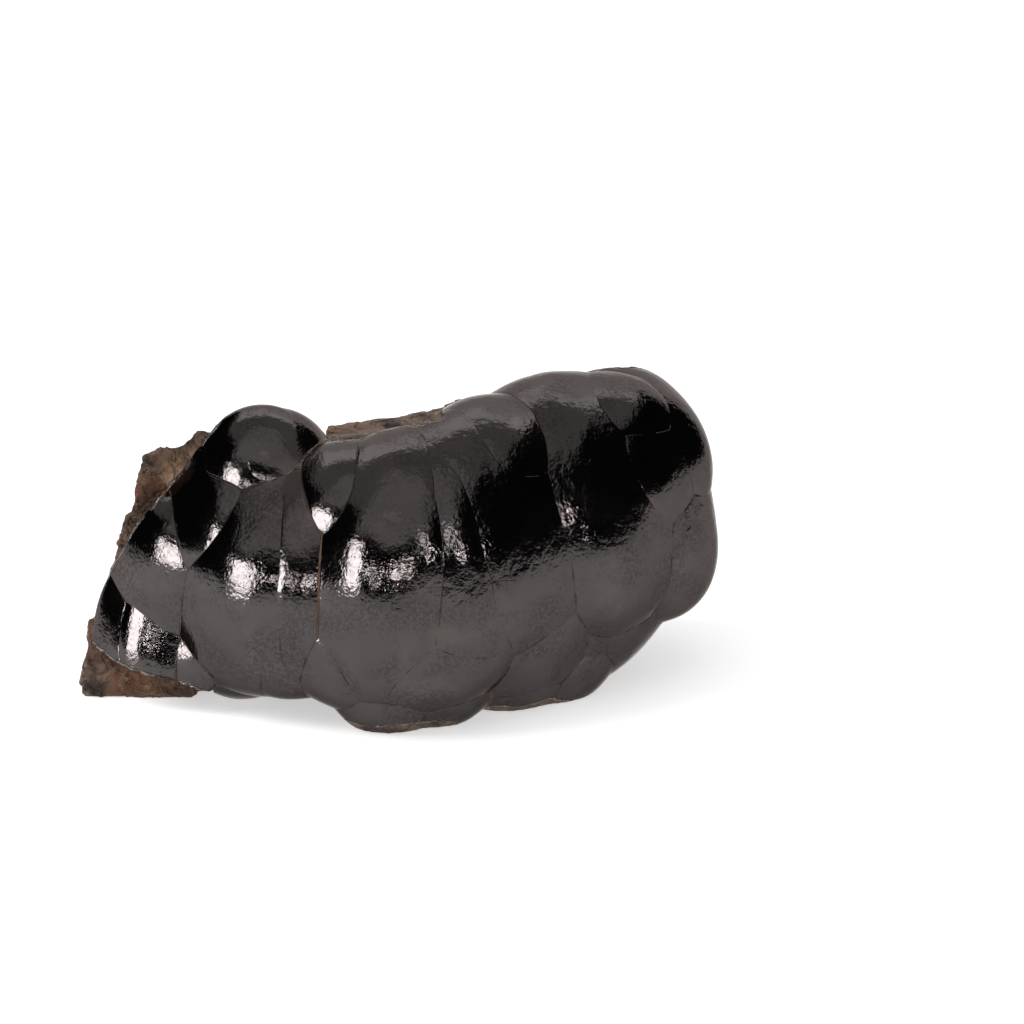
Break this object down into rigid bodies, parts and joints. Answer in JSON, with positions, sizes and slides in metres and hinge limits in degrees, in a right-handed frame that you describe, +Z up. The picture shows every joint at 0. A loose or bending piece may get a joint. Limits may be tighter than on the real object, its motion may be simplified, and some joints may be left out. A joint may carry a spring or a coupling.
{
  "type": "botryoidal goethite specimen",
  "caption": "Mineral specimen: a lustrous black crust of rounded goethite lobes on rough brown rock, resting on a flat broken foot.",
  "frame": {"origin": "centre of the stone's box in plan, at the height of its flat resting face", "axes": "+Z up from the resting face, -Y the side of the lustrous lobes, +X along the stone's length to its high end"},
  "size_m": [0.0906, 0.0496, 0.0441],
  "materials": {
    "goethite": "sub-metallic polished black lobes, earthy brown where the stone is broken"
  },
  "bodies": {
    "root": {"goethite": "goethite"}
  },
  "joints": []
}
